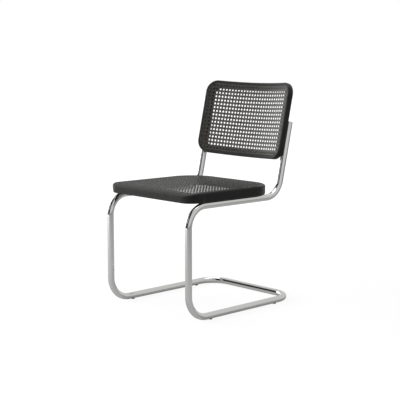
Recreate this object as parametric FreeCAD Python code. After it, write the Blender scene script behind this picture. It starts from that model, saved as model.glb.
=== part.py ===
import FreeCAD, Part
import math
import os

# Cantilever dining chair: one bent steel tube, a seat and a back of bent beech frames with woven cane.
# Millimetres, +Z up, the chair faces -Y, +X is the sitter's left.
# While it is drawn, the axis of the front legs is at Y = 0. All pieces move to the chair's centre at the end.

Vec = FreeCAD.Vector

# Steel tube
tube_diameter = 25.0
tube_wall = 2.0
half_span = 219.7          # chair's centre plane to the axis of each side of the tube
floor_depth = 554.0        # front leg axis to the axis of the rear crossbar
rail_height = 424.0        # axis of the seat rails above the floor, at the front leg
seat_tilt = 0.5            # degrees, the seat rails fall to the rear
post_lean = 13.1           # degrees, the back posts lean to the rear
post_foot = 464.6          # front leg axis to where the rail and post axes would cross
post_length = 288.0        # from that crossing to the end of the tube
knee_radius = 78.0         # bend radii, on the tube's axis
toe_radius = 87.0
heel_radius = 80.0
post_radius = 75.0
bore_chords = 6            # the bore goes round each bend in this many short straight runs

# Floor glides
glide_height = 2.0
glide_radius = 8.0
glide_flat_radius = 6.5
glide_stem_radius = 3.9
glide_stem_length = 6.5
glide_front = 108.0        # front leg axis to each glide
glide_rear = 452.0

# Post caps
cap_crown = 3.0
cap_stem_length = 14.0

# Seat frame
seat_overhang = 11.3       # past the axis of the rails, to each side
seat_front = -7.5          # front edge, from the front leg axis
seat_rear = 453.0
seat_front_corner = 50.0
seat_rear_corner = 113.0
seat_thickness = 36.5
seat_let_in = 1.5          # how far the tube is let into the underside
seat_rake = 6.0            # the front face slopes in towards the bottom
seat_nose_drop = 14.5      # how far the top falls at the front edge
seat_nose_length = 46.0    # over what length it falls
seat_top_round = 7.0
seat_bottom_round = 4.5
seat_rim_side = 14.0       # plain wood outside the spline groove
seat_rim_front = 22.0
seat_opening_front_corner = 12.0
seat_screw_front = 108.0   # screws from the front leg axis, along the rail
seat_screw_rear = 296.0
seat_joint_front = 66.0    # finger joints, from the front leg axis
seat_joint_rear = 326.0

# Back frame
back_overhang = 10.3       # past the axis of the posts, to each side
back_half_height = 149.2
back_corner = 49.0
back_thickness = 24.0
back_bow_radius = 659.0    # the frame is bowed round an upright axis in front of it
back_let_in = 1.5          # how far the posts are let into the rear of the frame
back_drop = 0.7            # middle of the back below the ends of the posts, along them
back_edge_round = 7.0
back_rim = 12.5            # plain wood outside the spline groove
back_screw_low = 115.3     # screws below the middle of the back
back_screw_high = 25.3
back_joint = 78.0          # finger joints, above and below the middle of the back

# Finger joints
finger_length = 12.0
finger_pitch = 9.5

# Cane and spline
groove_width = 4.6
groove_depth = 7.0
lip_width = 13.4           # wood under the cane, inside the groove
cane_thickness = 1.4
cane_skirt = 1.2           # cane turned down into the groove
cane_skirt_depth = 5.5
spline_depth = 6.2
seat_net_count = 13        # gaps each way
back_net_columns = 15
back_net_rows = 9
net_share = 0.55           # a gap's width as a share of the pitch
net_margin = 1.2           # clear cane between the last gaps and the frame's opening

# Screws and threaded inserts
screw_radius = 2.4
screw_head_radius = 5.0
screw_head_height = 2.8
screw_length = 14.0
screw_socket = 1.5         # flat-to-centre size of the hexagon socket
screw_socket_depth = 1.6
screw_hole_radius = 2.75
screw_access_radius = 5.6  # hole for the head in the tube's outer wall
insert_radius = 4.0
insert_bore_radius = 2.5
insert_length = 11.0
insert_sink = 0.5          # insert below the surface it is set into

# Clearances
tube_clearance = 0.1
cane_clearance = 0.1
plug_clearance = 0.1
insert_clearance = 0.05
screw_clearance = 0.05     # under a head, where it meets the curved wall of the bore

tube_radius = tube_diameter / 2
bore_radius = tube_radius - tube_wall
runner_height = glide_height + tube_radius
tilt = math.radians(seat_tilt)
lean = math.radians(post_lean)
post_foot_height = rail_height - post_foot * math.tan(tilt)
seat_half_width = half_span + seat_overhang
seat_underside = tube_radius - seat_let_in
seat_top = seat_underside + seat_thickness
back_half_width = half_span + back_overhang
back_centre = post_length - back_drop
bow_centre = math.sqrt((back_bow_radius + tube_radius + back_thickness / 2 - back_let_in) ** 2
                       - half_span ** 2)
far = 2000.0               # longer than anything that is cut


def rounded_face(half_width, low, high, low_corner, high_corner):
    """Rectangle in the XY plane, centred on X, with one corner radius at each end."""
    edges = []
    d = math.sqrt(0.5)
    corners = [
        (half_width - low_corner, low + low_corner, low_corner, 1, -1),
        (half_width - high_corner, high - high_corner, high_corner, 1, 1),
        (high_corner - half_width, high - high_corner, high_corner, -1, 1),
        (low_corner - half_width, low + low_corner, low_corner, -1, -1),
    ]
    arcs = []
    for x, y, r, sx, sy in corners:
        side = Vec(x + sx * r, y, 0)
        end = Vec(x, y + sy * r, 0)
        middle = Vec(x + sx * r * d, y + sy * r * d, 0)
        points = (side, middle, end) if sx * sy > 0 else (end, middle, side)
        arcs.append(points)
    for i, (start, middle, end) in enumerate(arcs):
        edges.append(Part.Arc(start, middle, end).toShape())
        following = arcs[(i + 1) % len(arcs)][0]
        edges.append(Part.LineSegment(end, following).toShape())
    return Part.Face(Part.Wire(edges))


def polygon_face(points):
    corners = [Vec(x, y, 0) for x, y in points]
    return Part.Face(Part.makePolygon(corners + [corners[0]]))


def tube_path(points, radii, chords=0):
    """Straight runs through the points, joined by tangent arcs of the given radii or by chords of them."""
    edges = []
    last = points[0]
    for before, corner, after, radius in zip(points, points[1:], points[2:], radii):
        to_before = (before - corner).normalize()
        to_after = (after - corner).normalize()
        half = to_before.getAngle(to_after) / 2
        start = corner + to_before * (radius / math.tan(half))
        end = corner + to_after * (radius / math.tan(half))
        inward = (to_before + to_after).normalize()
        middle = corner + inward * (radius / math.sin(half) - radius)
        edges.append(Part.LineSegment(last, start).toShape())
        bend = Part.Arc(start, middle, end).toShape()
        edges += Part.makePolygon(bend.discretize(chords + 1)).Edges if chords else [bend]
        last = end
    edges.append(Part.LineSegment(last, points[-1]).toShape())
    return Part.Wire(edges)


def frame_route(chords=0):
    """Axis of the whole tube, from one post's end to the other's."""
    half = []
    top = post_length
    half.append(Vec(0, post_foot + top * math.sin(lean), post_foot_height + top * math.cos(lean)))
    half.append(Vec(0, post_foot, post_foot_height))
    half.append(Vec(0, 0, rail_height))
    half.append(Vec(0, 0, runner_height))
    half.append(Vec(0, floor_depth, runner_height))
    left = [point + Vec(half_span, 0, 0) for point in half]
    right = [point - Vec(half_span, 0, 0) for point in half]
    radii = [post_radius, knee_radius, toe_radius, heel_radius]
    return tube_path(right + left[::-1], radii + radii[::-1], chords)


def swept_rod(path, radius):
    """Round rod along a path. Where the path has corners, they are mitred."""
    start = path.OrderedVertexes[0].Point
    direction = path.OrderedEdges[0].tangentAt(path.OrderedEdges[0].FirstParameter)
    circle = Part.Wire(Part.makeCircle(radius, start, direction))
    right_corners = 1
    return path.makePipeShell([circle], True, False, right_corners)


def at(shape, x, y, z):
    placed = shape.copy()
    placed.translate(Vec(x, y, z))
    return placed


def to_seat(shape):
    """From the seat's own board, whose z = 0 holds the rails' axes, into the chair."""
    placed = shape.copy()
    placed.rotate(Vec(0, 0, 0), Vec(1, 0, 0), -seat_tilt)
    placed.translate(Vec(0, 0, rail_height))
    return placed


def to_back(shape):
    """From the back's own board into the chair: y runs up the posts, z forward from their axes."""
    placed = shape.copy()
    placed.rotate(Vec(0, 0, 0), Vec(1, 0, 0), 90 - post_lean)
    placed.translate(Vec(0, post_foot, post_foot_height))
    return placed


def layer_flat(face, low, high):
    """The face made solid between two heights on the seat's board."""
    lifted = face.copy()
    lifted.translate(Vec(0, 0, low))
    return lifted.extrude(Vec(0, 0, high - low))


def layer_bowed(face, behind, ahead):
    """The face made solid between two depths from the middle of the bowed back frame."""
    lifted = face.copy()
    lifted.translate(Vec(0, 0, -bow_centre))
    prism = lifted.extrude(Vec(0, 0, 2 * bow_centre))
    base = Vec(0, -far / 2, bow_centre)
    outer = Part.makeCylinder(back_bow_radius - behind, far, base, Vec(0, 1, 0))
    inner = Part.makeCylinder(back_bow_radius - ahead, far, base, Vec(0, 1, 0))
    return prism.common(outer.cut(inner))


def seat_outline(side, front, rear, front_corner):
    """Seat outline set in by a distance at the sides, front and rear."""
    return rounded_face(seat_half_width - side, seat_front + front, seat_rear - rear,
                        front_corner, seat_rear_corner - side)


def back_outline(inset):
    return rounded_face(back_half_width - inset, back_centre - back_half_height + inset,
                        back_centre + back_half_height - inset, back_corner - inset, back_corner - inset)


def seat_ring_outline(inset):
    """Outline that keeps a distance from the outer wall of the seat's spline groove."""
    corner = seat_opening_front_corner + groove_width + lip_width - inset
    return seat_outline(seat_rim_side + inset, seat_rim_front + inset, seat_rim_side + inset, corner)


def back_ring_outline(inset):
    return back_outline(back_rim + inset)


def edges_at(shape, measure, value, tolerance=0.01):
    """Edges that lie wholly where the measure of a point has the given value."""
    found = []
    for edge in shape.Edges:
        points = edge.discretize(5)
        if all(abs(measure(point) - value) < tolerance for point in points):
            found.append(edge)
    return found


def nose_fall(y):
    """How far the seat's top has fallen at a distance behind the front edge."""
    radius = (seat_nose_length ** 2 + seat_nose_drop ** 2) / (2 * seat_nose_drop)
    ahead = max(0.0, seat_nose_length - (y - seat_front))
    return radius - math.sqrt(radius ** 2 - ahead ** 2)


def nose_cutter():
    """What is planed off the seat's front: above an arc that meets the flat top."""
    radius = (seat_nose_length ** 2 + seat_nose_drop ** 2) / (2 * seat_nose_drop)
    crest = seat_front + seat_nose_length
    reach = seat_nose_length * 1.3
    drum = Part.makeCylinder(radius, far, Vec(-far / 2, crest, seat_top - radius), Vec(1, 0, 0))
    block = Part.makeBox(far, reach, radius, Vec(-far / 2, crest - reach, seat_top - radius / 2))
    return block.cut(drum)


def seat_slab():
    """Outer form of the seat frame, before the opening and grooves are cut."""
    slab = layer_flat(seat_outline(0, 0, 0, seat_front_corner), seat_underside, seat_top)
    endless = rounded_face(seat_half_width, seat_front, far, seat_front_corner, seat_front_corner)
    endless.translate(Vec(0, 0, seat_top))
    slab = slab.common(endless.extrude(Vec(0, seat_rake, -seat_thickness)))
    slab = slab.cut(nose_cutter())
    upper = edges_at(slab, lambda p: p.z + nose_fall(p.y), seat_top)
    slab = slab.makeFillet(seat_top_round, upper)
    lower = edges_at(slab, lambda p: p.z, seat_underside)
    return slab.makeFillet(seat_bottom_round, lower)


def under_top(face, deep, shallow):
    """The face made solid between two depths under the seat's top, and so falling with it at the front."""
    block = Part.makeBox(far, far, far, Vec(-far / 2, -far / 2, seat_top - far)).cut(nose_cutter())
    return layer_flat(face, 0, far).common(at(block, 0, 0, -shallow)).cut(at(block, 0, 0, -deep))


def seat_frame():
    """The whole seat frame with its opening, cane lip and spline groove."""
    over = -seat_thickness
    ring = seat_slab()
    ring = ring.cut(layer_flat(seat_ring_outline(groove_width + lip_width), 0, far))
    ring = ring.cut(under_top(seat_ring_outline(groove_width), cane_thickness + cane_clearance, over))
    groove = seat_ring_outline(0).cut(seat_ring_outline(groove_width))
    return ring.cut(under_top(groove, groove_depth, over))


def back_frame():
    """The whole back frame, bowed, with its opening, cane lip and spline groove."""
    half = back_thickness / 2
    ring = layer_bowed(back_outline(0), -half, half).Solids[0]
    depth = lambda p: abs(back_bow_radius - math.hypot(p.x, p.z - bow_centre))
    ring = ring.makeFillet(back_edge_round, edges_at(ring, depth, half))
    over = half + back_thickness
    ring = ring.cut(layer_bowed(back_ring_outline(groove_width + lip_width), -over, over))
    ring = ring.cut(layer_bowed(back_ring_outline(groove_width), half - cane_thickness - cane_clearance, over))
    groove = back_ring_outline(0).cut(back_ring_outline(groove_width))
    return ring.cut(layer_bowed(groove, half - groove_depth, over))


def finger_line(half_width, member, height, upward):
    """Zigzag of a finger joint across a frame member on each side, as points from -X to +X."""
    count = max(2, round(member / finger_pitch))
    pitch = member / count
    points = []
    for i in range(2 * count + 1):
        x = half_width - member + i * pitch / 2
        points.append((x, height + (finger_length / 2 if i % 2 == 0 else -finger_length / 2) * upward))
    mirrored = [(-x, y) for x, y in reversed(points)]
    reach = half_width + member
    last = points[-1][1]
    return [(-reach, last)] + mirrored + points + [(reach, last)]


def split_frame(ring, lower_line, upper_line, depth):
    """Cut a frame along two finger-jointed lines into its lower, upper and two side members."""
    reach = lower_line[-1][0]
    below = polygon_face(lower_line + [(reach, -far), (-reach, -far)])
    above = polygon_face(upper_line + [(reach, far), (-reach, far)])
    lower_prism = layer_flat(below, -depth, depth)
    upper_prism = layer_flat(above, -depth, depth)
    lower = ring.common(lower_prism)
    upper = ring.common(upper_prism)
    sides = ring.cut(lower_prism).cut(upper_prism).Solids
    sides.sort(key=lambda solid: solid.CenterOfMass.x)
    return lower.Solids[0], upper.Solids[0], sides[1], sides[0]


def net_cells(opening, columns, rows):
    """Square gaps of the cane net, spread over a frame's opening, as faces."""
    box = opening.BoundBox
    pitch_x = box.XLength / columns
    pitch_y = box.YLength / rows
    half = net_share * min(pitch_x, pitch_y) / 2
    cells = []
    for column in range(columns):
        for row in range(rows):
            x = box.XMin + (column + 0.5) * pitch_x
            y = box.YMin + (row + 0.5) * pitch_y
            corners = [(x - half, y - half), (x + half, y - half), (x + half, y + half), (x - half, y + half)]
            if all(opening.isInside(Vec(a, b, 0), 0.001, True) for a, b in corners):
                cells.append(polygon_face(corners))
    return Part.makeCompound(cells)


def cane_faces(ring_outline, columns, rows):
    """The holed sheet, and the wall that turns down into the spline groove."""
    edge = groove_width - cane_clearance - cane_skirt
    opening = ring_outline(groove_width + lip_width + net_margin)
    sheet = ring_outline(edge).cut(net_cells(opening, columns, rows))
    wall = ring_outline(edge).cut(ring_outline(edge + cane_skirt))
    return sheet, wall


def seat_cane():
    """Holed sheet flush with the rim, its edge turned down into the groove."""
    sheet, wall = cane_faces(seat_ring_outline, seat_net_count, seat_net_count)
    cane = under_top(sheet, cane_thickness, 0)
    return cane.fuse(under_top(wall, cane_skirt_depth, 0)).removeSplitter()


def back_cane():
    sheet, wall = cane_faces(back_ring_outline, back_net_columns, back_net_rows)
    half = back_thickness / 2
    cane = layer_bowed(sheet, half - cane_thickness, half)
    return cane.fuse(layer_bowed(wall, half - cane_skirt_depth, half)).removeSplitter()


def spline_face(outline):
    return outline(cane_clearance).cut(outline(groove_width - 2 * cane_clearance - cane_skirt))


def domed_pin(head_radius, crown, stem_radius, stem_length):
    """Stem along +z from z = 0 with a domed head below it, as screws and plugs have."""
    dome_radius = (head_radius ** 2 + crown ** 2) / (2 * crown)
    turn = math.asin(head_radius / dome_radius) / 2
    middle = Vec(dome_radius * math.sin(turn), 0, dome_radius * (1 - math.cos(turn)) - crown)
    dome = Part.Arc(Vec(0, 0, -crown), middle, Vec(head_radius, 0, 0)).toShape()
    points = [Vec(head_radius, 0, 0), Vec(stem_radius, 0, 0), Vec(stem_radius, 0, stem_length - 1),
              Vec(stem_radius - 1, 0, stem_length), Vec(0, 0, stem_length), Vec(0, 0, -crown)]
    profile = Part.Wire([dome] + Part.makePolygon(points).Edges)
    return Part.Face(profile).revolve(Vec(0, 0, 0), Vec(0, 0, 1), 360)


def machine_screw():
    """Socket screw along +z, with the underside of its head at z = 0."""
    screw = domed_pin(screw_head_radius, screw_head_height, screw_radius, screw_length)
    corner = screw_socket / math.cos(math.pi / 6)
    hexagon = polygon_face([(corner * math.cos(math.pi / 3 * i), corner * math.sin(math.pi / 3 * i))
                            for i in range(6)])
    hexagon.translate(Vec(0, 0, -screw_head_height - 1))
    return screw.cut(hexagon.extrude(Vec(0, 0, screw_socket_depth + 1)))


def threaded_insert():
    """Sleeve along +z from z = 0, set into wood."""
    sleeve = Part.makeCylinder(insert_radius, insert_length)
    return sleeve.cut(Part.makeCylinder(insert_bore_radius, insert_length))


def insert_hole():
    """Blind hole in the wood for an insert, whose lower end is at z = 0."""
    depth = tube_radius + insert_length + insert_clearance
    return Part.makeCylinder(insert_radius + insert_clearance, depth, Vec(0, 0, -tube_radius))


def screw_holes():
    """Holes in the tube's walls, whose axis is at z = 0: for the stem above it, for the head below it."""
    access = Part.makeCylinder(screw_access_radius, tube_diameter, Vec(0, 0, -tube_diameter))
    return access.fuse(Part.makeCylinder(screw_hole_radius, tube_diameter))


def mirrored_pairs(shape, places, height):
    """Copies of a fastener on both sides of the chair, at each place along y."""
    return [at(shape, side * half_span, y, height) for side in (1, -1) for y in places]


def floor_glide():
    profile = [(0, 0), (glide_flat_radius, 0), (glide_radius, glide_height * 0.6), (glide_radius, glide_height),
               (glide_stem_radius, glide_height), (glide_stem_radius, glide_height + glide_stem_length),
               (0, glide_height + glide_stem_length)]
    points = [Vec(r, 0, z) for r, z in profile]
    return Part.Face(Part.makePolygon(points + [points[0]])).revolve(Vec(0, 0, 0), Vec(0, 0, 1), 360)


def post_cap():
    """Plug on the back's board, its dome standing along +y from the end of the post."""
    cap = domed_pin(tube_radius, cap_crown, bore_radius - plug_clearance, cap_stem_length)
    cap.rotate(Vec(0, 0, 0), Vec(1, 0, 0), 90)
    return cap


seat_screw_places = [seat_screw_front, seat_screw_rear]
back_screw_places = [back_centre - back_screw_low, back_centre - back_screw_high]
glide_places = [glide_front, glide_rear]
wood_face = tube_radius + tube_clearance       # bottom of the grooves that the tube lies in
screw_seat = math.sqrt(bore_radius ** 2 - screw_head_radius ** 2) - screw_clearance

route = frame_route()
rod = swept_rod(route, tube_radius)
groove_rod = swept_rod(route, tube_radius + tube_clearance)

# Holes through the tube for the screws and glides
drills = [to_seat(hole) for hole in mirrored_pairs(screw_holes(), seat_screw_places, 0)]
drills += [to_back(hole) for hole in mirrored_pairs(screw_holes(), back_screw_places, 0)]
glide_drill = Part.makeCylinder(glide_stem_radius + plug_clearance, glide_height + tube_radius)
drills += mirrored_pairs(glide_drill, glide_places, 0)
bore = swept_rod(frame_route(bore_chords), bore_radius)
tube_frame = rod.cut(bore).cut(Part.makeCompound(drills))

# Seat
seat_holes = [to_seat(hole) for hole in mirrored_pairs(insert_hole(), seat_screw_places,
                                                       wood_face + insert_sink)]
member = seat_rim_side + groove_width + lip_width
seat_parts = split_frame(seat_frame(), finger_line(seat_half_width, member, seat_joint_front, 1),
                         finger_line(seat_half_width, member, seat_joint_rear, 1), far)
seat_front_rail, seat_rear_rail, seat_side_left, seat_side_right = [
    to_seat(part).cut(groove_rod).cut(Part.makeCompound(seat_holes)) for part in seat_parts]

# Back
back_holes = [to_back(hole) for hole in mirrored_pairs(insert_hole(), back_screw_places,
                                                       wood_face + insert_sink)]
member = back_rim + groove_width + lip_width
back_parts = split_frame(back_frame(),
                         finger_line(back_half_width, member, back_centre - back_joint, 1),
                         finger_line(back_half_width, member, back_centre + back_joint, 1), far)
post_room = to_back(Part.makeCompound(
    [Part.makeCylinder(tube_radius + tube_clearance, post_length + cap_crown + plug_clearance,
                       Vec(side * half_span, 0, 0), Vec(0, 1, 0)) for side in (1, -1)]))
back_bottom_rail, back_top_rail, back_stile_left, back_stile_right = [
    to_back(part).cut(post_room).cut(Part.makeCompound(back_holes)) for part in back_parts]

screw = machine_screw()
insert = threaded_insert()
half = back_thickness / 2

nodes = {
    "tube_frame": tube_frame,
    "post_caps": to_back(Part.makeCompound(mirrored_pairs(post_cap(), [post_length], 0))),
    "floor_glides": Part.makeCompound(mirrored_pairs(floor_glide(), glide_places, 0)),
    "seat_front_rail": seat_front_rail,
    "seat_rear_rail": seat_rear_rail,
    "seat_side_rail_left": seat_side_left,
    "seat_side_rail_right": seat_side_right,
    "seat_cane": to_seat(seat_cane()),
    "seat_spline": to_seat(under_top(spline_face(seat_ring_outline), spline_depth, 0)),
    "seat_screws": to_seat(Part.makeCompound(mirrored_pairs(screw, seat_screw_places, screw_seat))),
    "seat_inserts": to_seat(Part.makeCompound(mirrored_pairs(insert, seat_screw_places,
                                                             wood_face + insert_sink))),
    "back_top_rail": back_top_rail,
    "back_bottom_rail": back_bottom_rail,
    "back_stile_left": back_stile_left,
    "back_stile_right": back_stile_right,
    "back_cane": to_back(back_cane()),
    "back_spline": to_back(layer_bowed(spline_face(back_ring_outline), half - spline_depth, half)),
    "back_screws": to_back(Part.makeCompound(mirrored_pairs(screw, back_screw_places, screw_seat))),
    "back_inserts": to_back(Part.makeCompound(mirrored_pairs(insert, back_screw_places,
                                                             wood_face + insert_sink))),
}

# The origin is on the floor under the middle of the chair's length
boxes = [shape.optimalBoundingBox() for shape in nodes.values()]
shift = -(min(box.YMin for box in boxes) + max(box.YMax for box in boxes)) / 2
os.makedirs("parts", exist_ok=True)
for name, shape in nodes.items():
    placed = shape.copy()
    placed.translate(Vec(0, shift, 0))
    placed.exportStep("parts/" + name + ".step")
print("front leg axis at y =", round(shift, 3))
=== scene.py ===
"""Cantilever dining chair: chromed tube, black stained bent frames and woven cane, over the solids."""
import math

import bmesh
import bpy
from bpy.props import FloatProperty, FloatVectorProperty, PointerProperty
from mathutils import Matrix, Vector


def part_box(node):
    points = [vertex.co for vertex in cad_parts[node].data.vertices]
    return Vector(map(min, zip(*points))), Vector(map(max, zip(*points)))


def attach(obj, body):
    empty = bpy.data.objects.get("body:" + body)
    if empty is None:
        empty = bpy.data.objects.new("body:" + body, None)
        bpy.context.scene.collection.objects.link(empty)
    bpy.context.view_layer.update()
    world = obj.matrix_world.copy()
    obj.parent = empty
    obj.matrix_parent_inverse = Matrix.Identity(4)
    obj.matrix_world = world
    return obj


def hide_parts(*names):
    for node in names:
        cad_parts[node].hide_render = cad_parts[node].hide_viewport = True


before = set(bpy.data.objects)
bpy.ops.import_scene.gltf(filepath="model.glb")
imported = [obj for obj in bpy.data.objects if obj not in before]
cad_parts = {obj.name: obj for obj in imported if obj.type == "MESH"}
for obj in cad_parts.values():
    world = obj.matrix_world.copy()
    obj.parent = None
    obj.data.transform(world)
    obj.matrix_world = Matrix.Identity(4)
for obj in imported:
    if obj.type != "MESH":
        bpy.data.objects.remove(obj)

bl_info = {
    "name": "Cantilever chair",
    "version": (1, 0, 0),
    "blender": (4, 5, 0),
    "location": "3D View > Sidebar > Chair",
    "description": "Builds a cantilever dining chair with a caned seat and back",
    "category": "Object",
}

MM = 0.001
CREASE = math.radians(32)  # Edges that turn by more than this stay sharp
NEARLY_FLAT = 0.0001  # Curvature of the seat across, since the bend divides by it


# Sizes

class TubeSizes(bpy.types.PropertyGroup):
    diameter: FloatProperty(
        name="Diameter", description="Outside diameter of the tube", default=25 * MM, unit="LENGTH")
    wall: FloatProperty(
        name="Wall", description="Thickness of the tube's wall", default=2 * MM, unit="LENGTH")
    half_span: FloatProperty(
        name="Half span", description="Centre plane to the tube's axis at each side",
        default=219.7 * MM, unit="LENGTH")
    floor_depth: FloatProperty(
        name="Floor depth", description="Front leg axis to the rear crossbar's axis",
        default=554 * MM, unit="LENGTH")
    runner_height: FloatProperty(
        name="Runner height", description="Runner's axis above the floor",
        default=14.5 * MM, unit="LENGTH")
    rail_height: FloatProperty(
        name="Rail height", description="Seat rails' axis above the floor at the front leg",
        default=424 * MM, unit="LENGTH")
    seat_tilt: FloatProperty(
        name="Seat tilt", description="Fall of the seat rails to the rear",
        default=math.radians(0.5), unit="ROTATION")
    post_lean: FloatProperty(
        name="Post lean", description="Lean of the back posts to the rear",
        default=math.radians(13.1), unit="ROTATION")
    post_foot: FloatProperty(
        name="Post foot", description="Front leg axis to where rail and post would cross",
        default=464.6 * MM, unit="LENGTH")
    post_length: FloatProperty(
        name="Post length", description="From that crossing to the end of the tube",
        default=288 * MM, unit="LENGTH")
    knee_radius: FloatProperty(
        name="Knee radius", description="Bend from seat rail to front leg",
        default=78 * MM, unit="LENGTH")
    toe_radius: FloatProperty(
        name="Toe radius", description="Bend from front leg to runner", default=87 * MM, unit="LENGTH")
    heel_radius: FloatProperty(
        name="Heel radius", description="Bend from runner to rear crossbar",
        default=80 * MM, unit="LENGTH")
    post_radius: FloatProperty(
        name="Post radius", description="Bend from seat rail to back post",
        default=75 * MM, unit="LENGTH")


class SeatSizes(bpy.types.PropertyGroup):
    half_width: FloatProperty(
        name="Half width", description="Centre plane to the seat's side",
        default=231 * MM, unit="LENGTH")
    front: FloatProperty(
        name="Front", description="Front edge from the front leg axis", default=-7.5 * MM, unit="LENGTH")
    rear: FloatProperty(
        name="Rear", description="Rear edge from the front leg axis", default=453 * MM, unit="LENGTH")
    rear_corner: FloatProperty(
        name="Rear corner", description="Radius of the rear corners", default=113 * MM, unit="LENGTH")
    opening_corner: FloatProperty(
        name="Opening corner", description="Front corners of the opening",
        default=12 * MM, unit="LENGTH")
    top: FloatProperty(
        name="Top", description="Seat's top above the rails' axes", default=47.5 * MM, unit="LENGTH")
    nose_drop: FloatProperty(
        name="Nose drop", description="How far the top falls at the front edge",
        default=14.5 * MM, unit="LENGTH")
    nose_length: FloatProperty(
        name="Nose length", description="Over what length it falls", default=46 * MM, unit="LENGTH")
    rim_side: FloatProperty(
        name="Side rim", description="Plain wood outside the spline groove",
        default=14 * MM, unit="LENGTH")
    rim_front: FloatProperty(
        name="Front rim", description="The same at the front", default=22 * MM, unit="LENGTH")


class BackSizes(bpy.types.PropertyGroup):
    half_width: FloatProperty(
        name="Half width", description="Centre plane to the back's side",
        default=230 * MM, unit="LENGTH")
    half_height: FloatProperty(
        name="Half height", description="Half the height of the back", default=149.2 * MM, unit="LENGTH")
    corner: FloatProperty(
        name="Corner", description="Radius of the corners", default=49 * MM, unit="LENGTH")
    thickness: FloatProperty(
        name="Thickness", description="Thickness of the frame", default=24 * MM, unit="LENGTH")
    bow: FloatProperty(
        name="Bow", description="Radius of the bow at half the thickness",
        default=659 * MM, unit="LENGTH")
    let_in: FloatProperty(
        name="Let in", description="How far the posts are let into the back",
        default=1.5 * MM, unit="LENGTH")
    centre: FloatProperty(
        name="Centre", description="Middle of the back, along the posts",
        default=287.3 * MM, unit="LENGTH")
    rim: FloatProperty(
        name="Rim", description="Plain wood outside the spline groove", default=12.5 * MM, unit="LENGTH")


class CaneSizes(bpy.types.PropertyGroup):
    pitch: FloatProperty(
        name="Pitch", description="Distance between holes of the weave", default=15 * MM, unit="LENGTH")
    pair_gap: FloatProperty(
        name="Pair gap", description="Between the middles of the two strands of a pair",
        default=3.7 * MM, unit="LENGTH")
    width: FloatProperty(
        name="Strand width", description="Width of the strands in pairs",
        default=3.3 * MM, unit="LENGTH")
    diagonal_width: FloatProperty(
        name="Diagonal width", description="Width of the diagonal strands",
        default=3.2 * MM, unit="LENGTH")
    thickness: FloatProperty(
        name="Strand thickness", description="Thickness of a strand", default=0.7 * MM, unit="LENGTH")
    step: FloatProperty(
        name="Step", description="Length of the straight runs of a strand",
        default=3.75 * MM, unit="LENGTH")
    groove_width: FloatProperty(
        name="Groove width", description="Width of the spline groove", default=4.6 * MM, unit="LENGTH")
    lip_width: FloatProperty(
        name="Lip width", description="Wood under the cane inside the groove",
        default=13.4 * MM, unit="LENGTH")
    sheet_thickness: FloatProperty(
        name="Sheet thickness", description="Thickness of the woven sheet",
        default=1.4 * MM, unit="LENGTH")
    reed_radius: FloatProperty(
        name="Reed radius", description="Radius of the spline in the groove",
        default=1.65 * MM, unit="LENGTH")
    reed_rise: FloatProperty(
        name="Reed rise", description="How far the spline stands above the wood",
        default=0.5 * MM, unit="LENGTH")


class SmallPartSizes(bpy.types.PropertyGroup):
    seat_screw_front: FloatProperty(
        name="Front seat screw", description="From the front leg axis", default=108 * MM, unit="LENGTH")
    seat_screw_rear: FloatProperty(
        name="Rear seat screw", description="From the front leg axis", default=296 * MM, unit="LENGTH")
    back_screw_low: FloatProperty(
        name="Low back screw", description="Below the middle of the back",
        default=115.3 * MM, unit="LENGTH")
    back_screw_high: FloatProperty(
        name="High back screw", description="Below the middle of the back",
        default=25.3 * MM, unit="LENGTH")
    head_radius: FloatProperty(
        name="Head radius", description="Radius of a screw's head", default=5 * MM, unit="LENGTH")
    access_radius: FloatProperty(
        name="Access radius", description="Hole for the head in the tube's outer wall",
        default=5.6 * MM, unit="LENGTH")
    glide_front: FloatProperty(
        name="Front glide", description="From the front leg axis", default=108 * MM, unit="LENGTH")
    glide_rear: FloatProperty(
        name="Rear glide", description="From the front leg axis", default=452 * MM, unit="LENGTH")
    cap_crown: FloatProperty(
        name="Cap crown", description="Height of the dome on a post's plug",
        default=3 * MM, unit="LENGTH")


class FinishColors(bpy.types.PropertyGroup):
    chrome: FloatVectorProperty(
        name="Chrome", description="Colour of the plating", default=(0.8, 0.8, 0.79), subtype="COLOR")
    stain: FloatVectorProperty(
        name="Stain", description="Colour of the stained wood",
        default=(0.0205, 0.020, 0.0195), subtype="COLOR")
    cane: FloatVectorProperty(
        name="Cane", description="Colour of the cane", default=(0.031, 0.0295, 0.027), subtype="COLOR")
    reed: FloatVectorProperty(
        name="Reed", description="Colour of the spline", default=(0.045, 0.043, 0.04), subtype="COLOR")


class StageSizes(bpy.types.PropertyGroup):
    camera_place: FloatVectorProperty(
        name="Camera", description="Place of the camera",
        default=(2.947606, -2.825306, 0.995428), subtype="TRANSLATION")
    azimuth: FloatProperty(
        name="Azimuth", description="Camera's turn about the vertical",
        default=math.radians(46.436), unit="ROTATION")
    pitch: FloatProperty(
        name="Pitch", description="How far the camera looks down",
        default=math.radians(8.307), unit="ROTATION")
    lens: FloatProperty(
        name="Lens", description="Focal length in millimetres for a 36 mm square sensor", default=96.03)
    world_strength: FloatProperty(
        name="World", description="Strength of the soft light all round", default=0.32)
    flag_direction: FloatVectorProperty(
        name="Dark side", description="Where the studio is dark, from the chair",
        default=(-0.29, -0.86, 0.42), subtype="DIRECTION")
    flag_width: FloatProperty(
        name="Dark width", description="Half the angle that the dark side takes up",
        default=math.radians(44), unit="ROTATION")
    window_width: FloatProperty(
        name="Window width", description="Half the angle of the bright window in it",
        default=math.radians(12), unit="ROTATION")


# Places shared with the solids

def front_leg_y():
    """The front legs' axis, from the foremost point of the tube."""
    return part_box("tube_frame")[0].y + bpy.context.scene.chair_tube.diameter / 2


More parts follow.
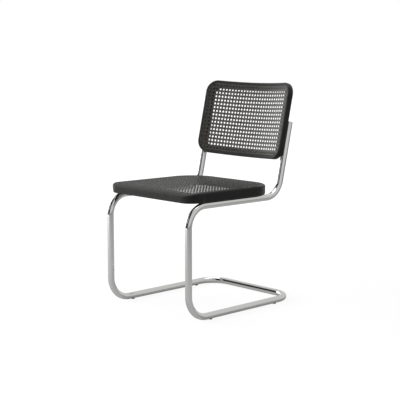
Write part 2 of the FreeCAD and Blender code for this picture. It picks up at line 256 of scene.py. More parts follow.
def post_foot():
    """Where the rail and post axes would cross, in the chair."""
    tube = bpy.context.scene.chair_tube
    height = tube.rail_height - tube.post_foot * math.tan(tube.seat_tilt)
    return Vector((0, front_leg_y() + tube.post_foot, height))


def floor_place():
    """From a board on the floor, whose y = 0 is the front leg axis, into the chair."""
    return Matrix.Translation((0, front_leg_y(), 0))


def seat_place():
    """From the seat's own board, whose z = 0 holds the rails' axes, into the chair."""
    tube = bpy.context.scene.chair_tube
    front = Matrix.Translation((0, front_leg_y(), tube.rail_height))
    return front @ Matrix.Rotation(-tube.seat_tilt, 4, "X")


def back_place():
    """From the back's own board into the chair: y runs up the posts, z forward from their axes."""
    turn = math.pi / 2 - bpy.context.scene.chair_tube.post_lean
    return Matrix.Translation(post_foot()) @ Matrix.Rotation(turn, 4, "X")


def bow_centre():
    """The bow's axis in front of the posts' axes, on the back's board."""
    back, tube = bpy.context.scene.chair_back, bpy.context.scene.chair_tube
    reach = back.bow + tube.diameter / 2 + back.thickness / 2 - back.let_in
    return math.sqrt(reach ** 2 - tube.half_span ** 2)


def nose_radius():
    """Radius of the seat's dropped nose, from its length and drop."""
    seat = bpy.context.scene.chair_seat
    return (seat.nose_length ** 2 + seat.nose_drop ** 2) / (2 * seat.nose_drop)


def seat_ring(inset):
    """A rounded outline inside the outer wall of the seat's groove, and where its middle is."""
    seat, cane = bpy.context.scene.chair_seat, bpy.context.scene.chair_cane
    front = seat.front + seat.rim_front + inset
    rear = seat.rear - seat.rim_side - inset
    middle = (front + rear) / 2
    outline = {"Half width": seat.half_width - seat.rim_side - inset, "Half length": (rear - front) / 2,
               "Low corner": seat.opening_corner + cane.groove_width + cane.lip_width - inset,
               "High corner": seat.rear_corner - seat.rim_side - inset, "Curvature": NEARLY_FLAT,
               "Nose start": middle - seat.front - seat.nose_length, "Nose radius": nose_radius()}
    return outline, seat_place() @ Matrix.Translation((0, middle, seat.top))


def back_ring(inset):
    """The same for the back, developed on the bowed face."""
    back = bpy.context.scene.chair_back
    surface = back.bow - back.thickness / 2
    half_width = surface * math.asin((back.half_width - back.rim - inset) / surface)
    corner = back.corner - back.rim - inset
    outline = {"Half width": half_width, "Half length": back.half_height - back.rim - inset,
               "Low corner": corner, "High corner": corner, "Curvature": 1 / surface,
               "Nose start": back.half_height, "Nose radius": nose_radius()}
    return outline, back_place() @ Matrix.Translation((0, back.centre, bow_centre() - surface))


# Node trees written as expressions

class Signal:
    """An output socket. Arithmetic with it adds Math nodes to its tree."""

    def __init__(self, tree, socket):
        self.tree = tree
        self.socket = socket

    def math(self, operation, *others):
        return self.tree.node("ShaderNodeMath", {"operation": operation}, dict(enumerate((self,) + others)))

    def ramp(self, start, end):
        """From 0 at the start to 1 at the end, softly."""
        return self.tree.node("ShaderNodeMapRange", {"interpolation_type": "SMOOTHSTEP"},
                              {"Value": self, "From Min": start, "From Max": end})

    def __add__(self, other):
        return self.math("ADD", other)

    def __sub__(self, other):
        return self.math("SUBTRACT", other)

    def __mul__(self, other):
        return self.math("MULTIPLY", other)

    def __truediv__(self, other):
        return self.math("DIVIDE", other)

    def __rsub__(self, other):
        return self * -1 + other

    def __neg__(self):
        return self * -1

    def __gt__(self, other):
        return self.math("GREATER_THAN", other)

    def __lt__(self, other):
        return self.math("LESS_THAN", other)

    __radd__ = __add__
    __rmul__ = __mul__


class Tree:
    """One shader or geometry node tree."""

    def __init__(self, tree):
        self.tree = tree

    def node(self, kind, settings=None, inputs=None, output=0):
        """Add a node: its settings are set first, then its inputs by name or number. Returns one output."""
        made = self.tree.nodes.new(kind)
        for name, value in (settings or {}).items():
            setattr(made, name, value)
        for name, value in (inputs or {}).items():
            for part in value if isinstance(value, list) else [value]:
                if isinstance(part, Signal):
                    self.tree.links.new(part.socket, made.inputs[name])
                else:
                    made.inputs[name].default_value = part
        return Signal(self, made.outputs[output] if len(made.outputs) else None)

    def axes(self, vector):
        """The three numbers of a vector."""
        first = self.node("ShaderNodeSeparateXYZ", inputs={0: vector})
        return [Signal(self, socket) for socket in first.socket.node.outputs]

    def vector(self, x, y, z):
        return self.node("ShaderNodeCombineXYZ", inputs={0: x, 1: y, 2: z})


def geometry_tree(name, inputs):
    """A geometry node group with named inputs. Returns its Tree and the inputs as Signals by name."""
    group = bpy.data.node_groups.new(name, "GeometryNodeTree")
    for label, kind in inputs.items():
        group.interface.new_socket(label, in_out="INPUT", socket_type="NodeSocket" + kind)
    group.interface.new_socket("Geometry", in_out="OUTPUT", socket_type="NodeSocketGeometry")
    tree = Tree(group)
    start = tree.node("NodeGroupInput").socket.node
    return tree, {label: Signal(tree, start.outputs[label]) for label in inputs}


def end_tree(tree, geometry, material):
    """Close a geometry tree with real, smooth, finished geometry."""
    realized = tree.node("GeometryNodeRealizeInstances", inputs={"Geometry": geometry})
    smooth = tree.node("GeometryNodeSetShadeSmooth", inputs={0: realized})
    finished = tree.node("GeometryNodeSetMaterial", inputs={"Geometry": smooth, "Material": material})
    tree.node("NodeGroupOutput", inputs={"Geometry": finished})


def stand(name, data):
    """A new object in the scene."""
    thing = bpy.data.objects.new(name, data)
    bpy.context.scene.collection.objects.link(thing)
    return thing


def run_tree(tree, values, source):
    """Evaluate a geometry tree over a curve or mesh with the given input values, as a plain mesh."""
    holder = stand("holder", source)
    modifier = holder.modifiers.new("nodes", "NODES")
    modifier.node_group = tree.tree
    for item in tree.tree.interface.items_tree:
        if item.in_out == "INPUT" and item.name in values:
            modifier[item.identifier] = values[item.name]
    evaluated = holder.evaluated_get(bpy.context.evaluated_depsgraph_get())
    mesh = bpy.data.meshes.new_from_object(evaluated)
    bpy.data.objects.remove(holder)
    mesh.set_sharp_from_angle(angle=CREASE)
    return mesh


def mesh_from(shell, name):
    """The finished mesh of an open bmesh."""
    mesh = bpy.data.meshes.new(name)
    shell.to_mesh(mesh)
    shell.free()
    return mesh


def piece_from(mesh, name, slot, *nodes):
    """A finished piece that rides on the chair and stands for the given solids."""
    piece = stand(name, mesh)
    mesh.name = name
    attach(piece, "root")
    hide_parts(*nodes)
    return piece


# Finishes

def shader_tree(owner):
    """The emptied node tree of a material or world."""
    owner.use_nodes = True
    owner.node_tree.nodes.clear()
    return Tree(owner.node_tree)


def new_finish(name, base_color, roughness, **sockets):
    """A material with one shader. Returns it with its Tree and the shader's node."""
    material = bpy.data.materials.new(name)
    tree = shader_tree(material)
    values = {"Base Color": (*base_color, 1), "Roughness": roughness} | sockets
    shader = tree.node("ShaderNodeBsdfPrincipled", inputs=values)
    tree.node("ShaderNodeOutputMaterial", inputs={"Surface": shader})
    return material, tree, shader.socket.node


def noise(tree, scale, detail=3.0, stretch=(1, 1, 1)):
    """Noise on the piece's own coordinates, from 0 to 1."""
    place = tree.node("ShaderNodeTexCoord", output="Object")
    place = tree.node("ShaderNodeMapping", inputs={"Vector": place, "Scale": stretch})
    return tree.node("ShaderNodeTexNoise", inputs={"Vector": place, "Scale": scale, "Detail": detail})


def toned(tree, signal, color, dark, light):
    """A colour that a signal takes from one factor at 0 to another at 1."""
    low, high = [(*(channel * factor for channel in color), 1) for factor in (dark, light)]
    return tree.node("ShaderNodeMix", {"data_type": "RGBA"}, {"Factor": signal, "A": low, "B": high},
                     output=2)


def connect(tree, signal, shader, name):
    """Feed a signal into one of the shader's sockets."""
    tree.tree.links.new(signal.socket, shader.inputs[name])


def bump(tree, height, distance):
    """A normal from a height signal, whose full rise is the distance."""
    return tree.node("ShaderNodeBump", inputs={"Height": height, "Distance": distance})


def chrome_plating():
    """Polished chrome with a slight haze and fine upright wipes."""
    color = bpy.context.scene.chair_finish.chrome
    material, tree, shader = new_finish("chrome_plating", color, 0.05, Metallic=1.0)
    haze = noise(tree, scale=30.0, detail=4.0)
    wipes = noise(tree, scale=140.0, detail=2.0, stretch=(1, 1, 0.15))
    connect(tree, 0.025 + haze * 0.03 + wipes * 0.02, shader, "Roughness")
    connect(tree, toned(tree, haze, color, 0.97, 1.02), shader, "Base Color")
    return material


def stained_beech(name, stretch):
    """Black stain under satin lacquer. The grain is long where the stretch is small."""
    color = bpy.context.scene.chair_finish.stain
    material, tree, shader = new_finish(name, color, 0.38, **{"Specular IOR Level": 0.18})
    grain = noise(tree, scale=260.0, detail=5.0, stretch=stretch)
    pores = noise(tree, scale=900.0, detail=2.0, stretch=stretch)
    cloud = noise(tree, scale=9.0, detail=2.0)
    tone = grain * 0.55 + cloud * 0.45
    connect(tree, toned(tree, tone, color, 0.6, 1.5), shader, "Base Color")
    connect(tree, 0.28 + grain * 0.10 + cloud * 0.10, shader, "Roughness")
    connect(tree, bump(tree, grain + pores * 0.5, 0.05 * MM), shader, "Normal")
    return material


def cane_bark():
    """Dark rattan bark: glossy outside, a little paler and rougher where the stain has worn thin."""
    color = bpy.context.scene.chair_finish.cane
    material, tree, shader = new_finish("cane_bark", color, 0.3)
    fibre = noise(tree, scale=700.0)
    patch = noise(tree, scale=45.0)
    tone = fibre * 0.5 + patch * 0.5
    connect(tree, toned(tree, tone, color, 0.5, 1.6), shader, "Base Color")
    connect(tree, 0.26 + patch * 0.2, shader, "Roughness")
    connect(tree, bump(tree, fibre, 0.05 * MM), shader, "Normal")
    return material


def plain_finish(name, base_color, roughness, metallic, spread, scale):
    """A small part's finish with fine variation in tone and gloss."""
    material, tree, shader = new_finish(name, base_color, roughness, Metallic=metallic)
    mottle = noise(tree, scale)
    connect(tree, toned(tree, mottle, base_color, 1 - spread, 1 + spread), shader, "Base Color")
    connect(tree, roughness - 0.06 + mottle * 0.12, shader, "Roughness")
    connect(tree, bump(tree, mottle, 0.03 * MM), shader, "Normal")
    return material


def finish(name):
    """A finish by name, made the first time it is asked for."""
    makers = {
        "chrome_plating": chrome_plating,
        "beech_across": lambda: stained_beech("beech_across", (0.06, 1, 1)),
        "beech_lengthways": lambda: stained_beech("beech_lengthways", (1, 0.06, 1)),
        "beech_upright": lambda: stained_beech("beech_upright", (1, 1, 0.06)),
        "cane_bark": cane_bark,
        # Colour, roughness, metallic, spread of the tone, scale of the mottling
        "reed": lambda: plain_finish("reed", bpy.context.scene.chair_finish.reed, 0.38, 0.0, 0.35, 400.0),
        "zinc": lambda: plain_finish("zinc", (0.5, 0.5, 0.49), 0.34, 1.0, 0.12, 300.0),
        "brass": lambda: plain_finish("brass", (0.74, 0.56, 0.28), 0.3, 1.0, 0.12, 300.0),
        "polyamide": lambda: plain_finish("polyamide", (0.66, 0.65, 0.61), 0.5, 0.0, 0.08, 900.0),
    }
    return bpy.data.materials.get(name) or makers[name]()


# Paths with rounded corners

def corner_curve(name, corners, closed=False):
    """A curve through (place, bend radius) corners. Each point keeps its bend radius."""
    curve = bpy.data.curves.new(name, "CURVE")
    curve.dimensions = "3D"
    spline = curve.splines.new("POLY")
    spline.use_cyclic_u = closed
    spline.points.add(len(corners) - 1)
    for point, (place, radius) in zip(spline.points, corners):
        point.co = (*place, 1)
        point.radius = radius
    return curve


def rounded_path(tree, given):
    """The given corners, joined by arcs of their own bend radii."""
    path = tree.node("GeometryNodeFilletCurve", {"mode": "POLY"},
                     {"Curve": given["Geometry"], "Count": given["Steps in a bend"],
                      "Radius": tree.node("GeometryNodeInputRadius")})
    return tree.node("GeometryNodeSetCurveRadius", inputs={"Curve": path, "Radius": 1.0})


def longer(tree, path, extra):
    """The path, with both its ends carried on straight."""
    for start, way in ((1, -extra), (0, extra)):
        tangent = tree.node("GeometryNodeInputTangent")
        offset = tree.node("ShaderNodeVectorMath", {"operation": "SCALE"}, {0: tangent, "Scale": way})
        end = tree.node("GeometryNodeCurveEndpointSelection",
                        inputs={"Start Size": start, "End Size": 1 - start})
        path = tree.node("GeometryNodeSetPosition",
                         inputs={"Geometry": path, "Selection": end, "Offset": offset})
    return path


def swept(tree, path, radius, steps, capped):
    """A round rod along a path."""
    circle = tree.node("GeometryNodeCurvePrimitiveCircle", inputs={"Resolution": steps, "Radius": radius})
    return tree.node("GeometryNodeCurveToMesh",
                     inputs={"Curve": path, "Profile Curve": circle, "Fill Caps": capped})


def shaped(tree, geometry, given):
    """Bend a flat sheet about an upright axis in front of it, and let it fall along its lower edge."""
    x, y, z = tree.axes(tree.node("GeometryNodeInputPosition"))
    ahead = (-y - given["Nose start"]).math("MAXIMUM", 0.0)
    nose = given["Nose radius"]
    fall = nose - (nose * nose - ahead * ahead).math("SQRT")
    curvature = given["Curvature"]
    angle = x * curvature
    sine = angle.math("SINE")
    half_sine = (angle * 0.5).math("SINE")
    place = tree.vector(sine / curvature - z * sine, y,
                        z * angle.math("COSINE") + half_sine * half_sine * 2 / curvature - fall)
    return tree.node("GeometryNodeSetPosition", inputs={"Geometry": geometry, "Position": place})


# Tube

def tube_route():
    """Corners of the tube's axis from post to post, each with its bend radius."""
    tube = bpy.context.scene.chair_tube
    lean = tube.post_lean
    front = front_leg_y()
    foot = post_foot()
    top = foot + Vector((0, math.sin(lean), math.cos(lean))) * tube.post_length
    half = [
        (top, 0),
        (foot, tube.post_radius),
        (Vector((0, front, tube.rail_height)), tube.knee_radius),
        (Vector((0, front, tube.runner_height)), tube.toe_radius),
        (Vector((0, front + tube.floor_depth, tube.runner_height)), tube.heel_radius),
    ]
    side = Vector((tube.half_span, 0, 0))
    right = [(point - side, radius) for point, radius in half]
    left = [(point + side, radius) for point, radius in half]
    return right + left[::-1]


def pairs(*places, height=0.0):
    """Places on a board, on both sides of the chair, at each y."""
    span = bpy.context.scene.chair_tube.half_span
    return [Vector((side * span, y, height)) for side in (1, -1) for y in places]


def seat_screw_places(height):
    """Where the seat's screws stand on its board."""
    parts = bpy.context.scene.chair_parts
    return pairs(parts.seat_screw_front, parts.seat_screw_rear, height=height)


def back_screw_places(height):
    """Where the back's screws stand on its board."""
    parts, back = bpy.context.scene.chair_parts, bpy.context.scene.chair_back
    return pairs(back.centre - parts.back_screw_low, back.centre - parts.back_screw_high, height=height)


def access_drills():
    """What is drilled out of the tube's outer wall, so that the screws' heads go inside it."""
    tube, parts = bpy.context.scene.chair_tube, bpy.context.scene.chair_parts
    shell = bmesh.new()
    depth = -tube.diameter / 2
    for board, places in ((seat_place(), seat_screw_places(depth)),
                          (back_place(), back_screw_places(depth))):
        for place in places:
            bmesh.ops.create_cone(shell, cap_ends=True, segments=32, radius1=parts.access_radius,
                                  radius2=parts.access_radius, depth=tube.diameter,
                                  matrix=board @ Matrix.Translation(place))
    return mesh_from(shell, "access_drills")


def tube_tree():
    """A rod along the tube's axis, less its bore and the drills."""
    past_ends = 5 * MM
    tree, given = geometry_tree("bent_tube", {"Geometry": "Geometry", "Radius": "Float", "Wall": "Float",
                                              "Steps in a bend": "Int", "Steps round": "Int",
                                              "Drills": "Object", "Finish": "Material"})
    path = rounded_path(tree, given)
    rod = swept(tree, path, given["Radius"], given["Steps round"], capped=True)
    bore_radius = given["Radius"] - given["Wall"]
    bore = swept(tree, longer(tree, path, past_ends), bore_radius, given["Steps round"], capped=True)
    drills = tree.node("GeometryNodeObjectInfo", inputs={"Object": given["Drills"]}, output="Geometry")
    tube = tree.node("GeometryNodeMeshBoolean", {"operation": "DIFFERENCE"},
                     {"Mesh 1": rod, "Mesh 2": [bore, drills]})
    end_tree(tree, tube, given["Finish"])
    return tree


class BuildTube(bpy.types.Operator):
    """Bend the tube along its route and drill it"""
    bl_idname = "chair.build_tube"
    bl_label = "Bend the tube"

    def execute(self, context):
        tube = context.scene.chair_tube
        drills = stand("access_drills", access_drills())
        values = {"Radius": tube.diameter / 2, "Wall": tube.wall, "Steps in a bend": 28, "Steps round": 48,
                  "Drills": drills, "Finish": finish("chrome_plating")}
        mesh = run_tree(tube_tree(), values, corner_curve("tube_axis", tube_route()))
        bpy.data.objects.remove(drills)
        piece_from(mesh, "steel_tube", "chrome", "tube_frame")
        return {"FINISHED"}


# Wooden frames

def smooth_copy(node, name, slot):
    """A merged copy of a solid with smooth rounds and sharp arrises."""
    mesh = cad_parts[node].data.copy()
    shell = bmesh.new()
    shell.from_mesh(mesh)
    bmesh.ops.remove_doubles(shell, verts=shell.verts, dist=0.002 * MM)
    shell.to_mesh(mesh)
    shell.free()
    mesh.shade_smooth()
    mesh.set_sharp_from_angle(angle=CREASE)
    piece = piece_from(mesh, name, slot, node)
    weighted = piece.modifiers.new("weighted_normals", "WEIGHTED_NORMAL")
    weighted.keep_sharp = True
    return piece


class BuildWood(bpy.types.Operator):
    """Finish the members of the seat and back frames"""
    bl_idname = "chair.build_wood"
    bl_label = "Finish the wooden frames"

    def execute(self, context):
        grain = {
            "seat_front_rail": "beech_across",
            "seat_rear_rail": "beech_across",
            "seat_side_rail_left": "beech_lengthways",
            "seat_side_rail_right": "beech_lengthways",
            "back_top_rail": "beech_across",
            "back_bottom_rail": "beech_across",
            "back_stile_left": "beech_upright",
            "back_stile_right": "beech_upright",
        }
        for node, wood in grain.items():
            piece = smooth_copy(node, node + "_wood", "wood")
            piece.data.materials.clear()
            piece.data.materials.append(finish(wood))
        return {"FINISHED"}


# Cane

BEND = ["Curvature", "Nose start", "Nose radius"]
OUTLINE = ["Half width", "Half length", "Low corner", "High corner"] + BEND
REACH = 1.45  # Half a strand's length, over the sheet's half width and half length together
WAVE = 0.9  # Rise and fall of a strand in the weave, over its thickness


def cane_tree():
    """A woven sheet on a rounded outline about the origin, then bent to the form of the frame."""
    sizes = ["Pitch", "Pair gap", "Width", "Diagonal width", "Thickness", "Step", "Column shift"] + OUTLINE
    inputs = {label: "Float" for label in sizes}
    inputs["Finish"] = "Material"
    tree, given = geometry_tree("woven_cane", inputs)
    pitch = given["Pitch"]
    columns = given["Column shift"]
    thickness = given["Thickness"]
    reach = (given["Half width"] + given["Half length"]) * REACH

    def strands(spacing, shift, turn, wave, width):
        """Parallel flat strands, turned on the sheet. The wave gives their height from their place."""
        count = (reach / spacing).math("FLOOR") * 2 + 1
        first = -((count - 1) * 0.5 * spacing) + shift
        rows = tree.node("GeometryNodeMeshLine", {"mode": "OFFSET", "count_mode": "TOTAL"},
                         {"Count": count, "Start Location": tree.vector(0.0, first, 0.0),
                          "Offset": tree.vector(0.0, spacing, 0.0)})
        line = tree.node("GeometryNodeCurvePrimitiveLine", {"mode": "POINTS"},
                         {"Start": tree.vector(-reach, 0.0, 0.0), "End": tree.vector(reach, 0.0, 0.0)})
        line = tree.node("GeometryNodeResampleCurve", {"mode": "LENGTH"},
                         {"Curve": line, "Length": given["Step"]})
        lines = tree.node("GeometryNodeInstanceOnPoints", inputs={"Points": rows, "Instance": line})
        lines = tree.node("GeometryNodeRealizeInstances", inputs={"Geometry": lines})
        lines = tree.node("GeometryNodeTransform", inputs={"Geometry": lines, "Rotation": (0, 0, turn)})
        lines = tree.node("GeometryNodeDeleteGeometry", {"domain": "POINT"},
                          {"Geometry": lines, "Selection": outside_outline()})
        x, y, _ = tree.axes(tree.node("GeometryNodeInputPosition"))
        lines = tree.node("GeometryNodeSetPosition",
                          inputs={"Geometry": lines, "Offset": tree.vector(0.0, 0.0, wave(x, y))})
        lines = tree.node("GeometryNodeSetCurveNormal", {"mode": "Z_UP"}, {0: lines})
        profile = tree.node("GeometryNodeCurvePrimitiveCircle", inputs={"Resolution": 4, "Radius": 0.5})
        profile = tree.node("GeometryNodeTransform",
                            inputs={"Geometry": profile, "Scale": tree.vector(width, thickness, 1.0)})
        return tree.node("GeometryNodeCurveToMesh",
                         inputs={"Curve": lines, "Profile Curve": profile, "Fill Caps": True})

    def outside_outline():
        """Whether a point lies past the rounded outline."""
        x, y, _ = tree.axes(tree.node("GeometryNodeInputPosition"))
        corner = given["High corner"] + (y < 0.0) * (given["Low corner"] - given["High corner"])
        across = (x.math("ABSOLUTE") - given["Half width"] + corner).math("MAXIMUM", 0.0)
        along = (y.math("ABSOLUTE") - given["Half length"] + corner).math("MAXIMUM", 0.0)
        return (across * across + along * along).math("SQRT") > corner

    def turns(place, shift):
        """The angle in the weave's rhythm, one turn to a pitch."""
        return (place - shift) / pitch * (2 * math.pi)

    def over_pair(place, shift, sign):
        """Over one strand of the crossing pair and under the other, level elsewhere."""
        angle = turns(place, shift)
        near = (angle * 0.5).math("COSINE").math("POWER", 4.0)
        return angle.math("SINE") * near * (thickness * WAVE * sign)

    half_gap = given["Pair gap"] * 0.5
    sheets = []
    for sign in (1, -1):
        shift = half_gap * sign
        sheets.append(strands(pitch, shift, 0.0, lambda x, y: over_pair(x, columns, sign), given["Width"]))
        sheets.append(strands(pitch, shift - columns, math.pi / 2, lambda x, y: over_pair(y, 0.0, sign),
                              given["Width"]))
    for turn, sign in ((math.pi / 4, 1), (-math.pi / 4, -1)):
        sheets.append(strands(pitch * math.sqrt(0.5), (pitch * 0.5 - columns * sign) * math.sqrt(0.5), turn,
                              lambda x, y: turns(x, columns).math("COSINE") * thickness * (-WAVE * sign),
                              given["Diagonal width"]))
    woven = tree.node("GeometryNodeJoinGeometry", inputs={"Geometry": sheets})
    end_tree(tree, shaped(tree, woven, given), given["Finish"])
    return tree


def reed_tree():
    """A round reed laid along the rounded outline of a groove, then bent to the form of the frame."""
    inputs = {"Geometry": "Geometry", "Radius": "Float", "Steps in a bend": "Int", "Steps round": "Int",
              "Run": "Float", "Finish": "Material"}
    inputs |= {label: "Float" for label in BEND}
    tree, given = geometry_tree("reed_in_groove", inputs)
    path = tree.node("GeometryNodeResampleCurve", {"mode": "LENGTH"},
                     {"Curve": rounded_path(tree, given), "Length": given["Run"]})
    reed = swept(tree, path, given["Radius"], given["Steps round"], capped=False)
    end_tree(tree, shaped(tree, reed, given), given["Finish"])
    return tree


class BuildCane(bpy.types.Operator):
    """Weave the cane of the seat and the back, and wedge it with reed"""
    bl_idname = "chair.build_cane"
    bl_label = "Weave the cane"

    def execute(self, context):
        cane = context.scene.chair_cane
        weave, reed = cane_tree(), reed_tree()
        sizes = {"Pitch": cane.pitch, "Pair gap": cane.pair_gap, "Width": cane.width,
                 "Diagonal width": cane.diagonal_width, "Thickness": cane.thickness, "Step": cane.step,
                 "Column shift": cane.pitch / 2, "Finish": finish("cane_bark")}
        under_reed = cane.groove_width * 0.6
        clearance = 0.1 * MM
        for part, ring in (("seat", seat_ring), ("back", back_ring)):
            outline, board = ring(under_reed)
            mesh = run_tree(weave, sizes | outline, bpy.data.meshes.new("empty"))
            mesh.transform(board @ Matrix.Translation((0, 0, -cane.sheet_thickness / 2)))
            piece_from(mesh, part + "_cane_weave", "cane", part + "_cane")

            outline, board = ring(cane.reed_radius + clearance)
            height = cane.reed_rise - cane.reed_radius
            width, length = outline["Half width"], outline["Half length"]
            low, high = outline["Low corner"], outline["High corner"]
            corners = [((-width, -length, height), low), ((width, -length, height), low),
                       ((width, length, height), high), ((-width, length, height), high)]
            values = outline | {"Radius": cane.reed_radius, "Steps in a bend": 24, "Steps round": 10,
                                "Run": 5 * MM, "Finish": finish("reed")}
            mesh = run_tree(reed, values, corner_curve("reed_line", corners, closed=True))
            mesh.transform(board)
            piece_from(mesh, part + "_reed", "spline", part + "_spline")
        return {"FINISHED"}


# Small parts

def turned(name, profile, steps=32):
    """A closed (radius, height) profile turned round z."""
    weld = 0.001 * MM
    shell = bmesh.new()
    points = [shell.verts.new((radius, 0, height)) for radius, height in profile]
    edges = [shell.edges.new((a, b)) for a, b in zip(points, points[1:] + points[:1])]
    bmesh.ops.spin(shell, geom=points + edges, axis=(0, 0, 1), cent=(0, 0, 0), angle=2 * math.pi,
                   steps=steps, use_merge=True)
    bmesh.ops.remove_doubles(shell, verts=shell.verts, dist=weld)
    bmesh.ops.dissolve_degenerate(shell, edges=shell.edges, dist=weld)
    bmesh.ops.recalc_face_normals(shell, faces=shell.faces)
    return mesh_from(shell, name)


def domed_profile(head_radius, crown, stem_radius, stem_length, steps=8):
    """Profile of a pin along +z with a domed head below z = 0."""
    chamfer = 1 * MM
    dome_radius = (head_radius ** 2 + crown ** 2) / (2 * crown)
    turn = math.asin(head_radius / dome_radius)
    angles = [turn * i / steps for i in range(steps + 1)]
    dome = [(dome_radius * math.sin(angle), dome_radius * (1 - math.cos(angle)) - crown) for angle in angles]
    return dome + [(stem_radius, 0), (stem_radius, stem_length - chamfer),
                   (stem_radius - chamfer, stem_length), (0, stem_length)]


def places_tree(socketed):
    """One piece set at each point of the source, with a hexagon socket where it has one."""
    inputs = {"Geometry": "Geometry", "Piece": "Object", "Finish": "Material"}
    if socketed:
        inputs |= {"Socket radius": "Float", "Socket depth": "Float", "Socket height": "Float"}
    tree, given = geometry_tree("socketed_pieces" if socketed else "placed_pieces", inputs)
    piece = tree.node("GeometryNodeObjectInfo", inputs={"Object": given["Piece"]}, output="Geometry")
    if socketed:
        socket = tree.node("GeometryNodeMeshCylinder",
                           inputs={"Vertices": 6, "Radius": given["Socket radius"],
                                   "Depth": given["Socket depth"]})
        lift = tree.vector(0.0, 0.0, given["Socket height"])
        socket = tree.node("GeometryNodeTransform", inputs={"Geometry": socket, "Translation": lift})
        piece = tree.node("GeometryNodeMeshBoolean", {"operation": "DIFFERENCE"},
                          {"Mesh 1": piece, "Mesh 2": socket})
    placed = tree.node("GeometryNodeInstanceOnPoints",
                       inputs={"Points": given["Geometry"], "Instance": piece})
    end_tree(tree, placed, given["Finish"])
    return tree


def set_at_places(mesh, places, board, name, slot, node, material, **socket):
    """Copies of a turned piece at places on a board, as one finished piece."""
    piece = stand("piece", mesh)
    points = bpy.data.meshes.new("places")
    points.from_pydata(places, [], [])
    values = {"Piece": piece, "Finish": finish(material)} | socket
    result = run_tree(places_tree(bool(socket)), values, points)
    bpy.data.objects.remove(piece)
    result.transform(board)
    piece_from(result, name, slot, node)


class BuildSmallParts(bpy.types.Operator):
    """Turn and set the plugs, glides, screws and inserts"""
    bl_idname = "chair.build_small_parts"
    bl_label = "Set the small parts"

    def execute(self, context):
        tube, parts = context.scene.chair_tube, context.scene.chair_parts
        radius = tube.diameter / 2
        bore = radius - tube.wall

        crown = 2.8 * MM
        head_clearance = 0.05 * MM
        head_height = math.sqrt(bore ** 2 - parts.head_radius ** 2) - head_clearance
        screw = domed_profile(parts.head_radius, crown, stem_radius=2.4 * MM, stem_length=14 * MM)
        socket = {"Socket radius": 1.73 * MM, "Socket depth": 3.2 * MM, "Socket height": -crown}
        inner, outer, length = 2.5 * MM, 4 * MM, 11 * MM
        insert = [(inner, 0), (outer, 0), (outer, length), (inner, length)]
        above_tube = 0.6 * MM
        for part, board, places in (("seat", seat_place(), seat_screw_places),
                                    ("back", back_place(), back_screw_places)):
            set_at_places(turned("screw", screw), places(head_height), board, part + "_socket_screws",
                          "screw", part + "_screws", "zinc", **socket)
            set_at_places(turned("insert", insert), places(radius + above_tube), board,
                          part + "_threaded_inserts", "insert", part + "_inserts", "brass")

        plug_clearance = 0.1 * MM
        plug = turned("plug", domed_profile(radius, parts.cap_crown, bore - plug_clearance,
                                            stem_length=14 * MM, steps=12))
        plug.transform(Matrix.Rotation(math.pi / 2, 4, "X"))
        set_at_places(plug, pairs(tube.post_length), back_place(), "post_plugs", "chrome", "post_caps",
                      "chrome_plating")

        pad_height, stem_radius = 2 * MM, 3.9 * MM
        stem_top = pad_height + 6.5 * MM
        foot = [(0, 0), (6.5 * MM, 0), (7.5 * MM, 0.4 * MM), (8 * MM, 1.2 * MM), (8 * MM, pad_height)]
        stem = [(stem_radius, pad_height), (stem_radius, stem_top), (0, stem_top)]
        set_at_places(turned("glide", foot + stem), pairs(parts.glide_front, parts.glide_rear),
                      floor_place(), "runner_glides", "glide", "floor_glides", "polyamide")
        return {"FINISHED"}


# Stage

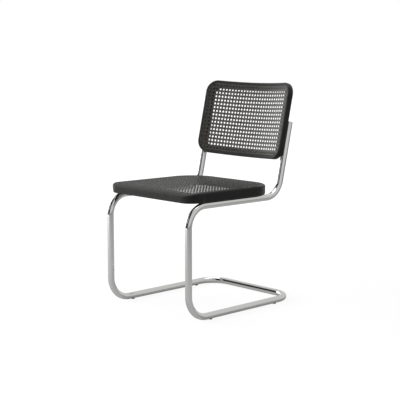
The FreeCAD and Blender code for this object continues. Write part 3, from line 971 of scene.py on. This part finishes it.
class BuildStage(bpy.types.Operator):
    """Set the camera, the lights and the white floor"""
    bl_idname = "chair.build_stage"
    bl_label = "Set the stage"

    def execute(self, context):
        self.camera(context)
        self.floor(context)
        self.lights(context)
        self.world(context)
        context.scene.view_settings.view_transform = "Standard"
        return {"FINISHED"}

    def camera(self, context):
        """The photograph's viewpoint and lens."""
        stage = context.scene.chair_stage
        camera = bpy.data.cameras.new("camera")
        camera.sensor_fit = "HORIZONTAL"
        camera.sensor_width = 36
        camera.lens = stage.lens
        camera.clip_end = 100
        holder = stand("camera", camera)
        level = math.cos(stage.pitch)
        ahead = Vector((-math.sin(stage.azimuth) * level, math.cos(stage.azimuth) * level,
                        -math.sin(stage.pitch)))
        holder.location = stage.camera_place
        holder.rotation_euler = ahead.to_track_quat("-Z", "Y").to_euler()
        context.scene.camera = holder

    def rays(self, tree):
        """Whether the camera sees a place, and whether a glossy surface mirrors it."""
        return [tree.node("ShaderNodeLightPath", output=kind) for kind in ("Is Camera Ray", "Is Glossy Ray")]

    def floor(self, context):
        """White where it is seen or mirrored, apart from the chair's faint shadow."""
        size = 12.0
        paper_tone = 0.52
        near, distant = 0.8, 2.5
        glow_seen, glow_mirrored = 1.14, 0.5
        share_seen, share_mirrored = 0.8, 0.35
        mesh = bpy.data.meshes.new("floor")
        corners = [(-size, -size, 0), (size, -size, 0), (size, size, 0), (-size, size, 0)]
        mesh.from_pydata(corners, [], [(0, 1, 2, 3)])
        floor = stand("floor", mesh)
        material = bpy.data.materials.new("floor_white")
        tree = shader_tree(material)
        paper = tree.node("ShaderNodeBsdfDiffuse", inputs={"Color": (paper_tone, paper_tone, paper_tone, 1)})
        place = tree.node("ShaderNodeTexCoord", output="Object")
        distance = tree.node("ShaderNodeVectorMath", {"operation": "LENGTH"}, {0: place}, output="Value")
        seen, mirrored = self.rays(tree)
        strength = glow_mirrored + seen * (glow_seen - glow_mirrored)
        glow = tree.node("ShaderNodeEmission", inputs={"Color": (1, 1, 1, 1), "Strength": strength})
        share_far = distance.ramp(near, distant) * (1 - share_seen)
        share = seen * (share_seen + share_far) + mirrored * share_mirrored
        mixed = tree.node("ShaderNodeMixShader", inputs={0: share, 1: paper, 2: glow})
        tree.node("ShaderNodeOutputMaterial", inputs={"Surface": mixed})
        mesh.materials.append(material)

    def lights(self, context):
        """Large soft lamps. The key is the one that doesn't show in the chrome."""
        chair_middle = Vector((0, 0, 0.45))
        # Name, place, size, power, shows in the chrome
        areas = [
            ("key", (-2.5, -3.1, 1.5), 2.2, 240, False),
            ("side", (-3.2, -0.4, 1.0), 1.8, 26, True),
            ("top", (-0.2, 0.4, 3.4), 2.6, 38, True),
        ]
        for name, place, size, power, mirrored in areas:
            light = bpy.data.lights.new(name, "AREA")
            light.shape = "SQUARE"
            light.size = size
            light.energy = power
            holder = stand(name, light)
            holder.location = place
            aim = chair_middle - Vector(place)
            holder.rotation_euler = aim.to_track_quat("-Z", "Y").to_euler()
            holder.visible_glossy = mirrored

    def world(self, context):
        """White where it is seen. Mirrored, it has a dark side with a bright window in it."""
        stage = context.scene.chair_stage
        mirrored_strength = 0.65
        darkness = 0.95
        flag_edge, window_edge = math.radians(7), math.radians(3)
        world = bpy.data.worlds.new("studio")
        context.scene.world = world
        tree = shader_tree(world)
        way = tree.node("ShaderNodeTexCoord", output="Generated")
        facing = tree.node("ShaderNodeVectorMath", {"operation": "DOT_PRODUCT"},
                           {0: way, 1: Vector(stage.flag_direction).normalized()}, output="Value")

        def within(angle, edge):
            """1 inside a cone about the dark side's direction, with a soft edge."""
            return facing.ramp(math.cos(angle + edge), math.cos(angle - edge))

        dark = within(stage.flag_width, flag_edge) - within(stage.window_width, window_edge)
        seen, mirrored = self.rays(tree)
        level = stage.world_strength + mirrored * (mirrored_strength - stage.world_strength)
        strength = seen + (1 - seen) * level * (1 - dark * darkness)
        light = tree.node("ShaderNodeBackground", inputs={"Color": (1, 1, 1, 1), "Strength": strength})
        tree.node("ShaderNodeOutputWorld", inputs={"Surface": light})


class ChairPanel(bpy.types.Panel):
    """Lists the chair's pieces and sizes"""
    bl_idname = "VIEW3D_PT_cantilever_chair"
    bl_label = "Cantilever chair"
    bl_space_type = "VIEW_3D"
    bl_region_type = "UI"
    bl_category = "Chair"

    def draw(self, context):
        for operator in STEPS:
            self.layout.operator(operator.bl_idname)
        for name, group in GROUPS.items():
            settings = getattr(context.scene, name)
            box = self.layout.box()
            for label in group.__annotations__:
                box.prop(settings, label)


GROUPS = {
    "chair_tube": TubeSizes,
    "chair_seat": SeatSizes,
    "chair_back": BackSizes,
    "chair_cane": CaneSizes,
    "chair_parts": SmallPartSizes,
    "chair_finish": FinishColors,
    "chair_stage": StageSizes,
}
STEPS = [BuildTube, BuildWood, BuildCane, BuildSmallParts, BuildStage]


def register():
    for name, group in GROUPS.items():
        bpy.utils.register_class(group)
        setattr(bpy.types.Scene, name, PointerProperty(type=group))
    for kind in STEPS + [ChairPanel]:
        bpy.utils.register_class(kind)


def unregister():
    for kind in [ChairPanel] + STEPS[::-1]:
        bpy.utils.unregister_class(kind)
    for name, group in GROUPS.items():
        delattr(bpy.types.Scene, name)
        bpy.utils.unregister_class(group)


def main():
    register()
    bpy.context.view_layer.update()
    bpy.ops.chair.build_tube()
    bpy.ops.chair.build_wood()
    bpy.ops.chair.build_cane()
    bpy.ops.chair.build_small_parts()
    bpy.ops.chair.build_stage()


if __name__ == "__main__":
    main()
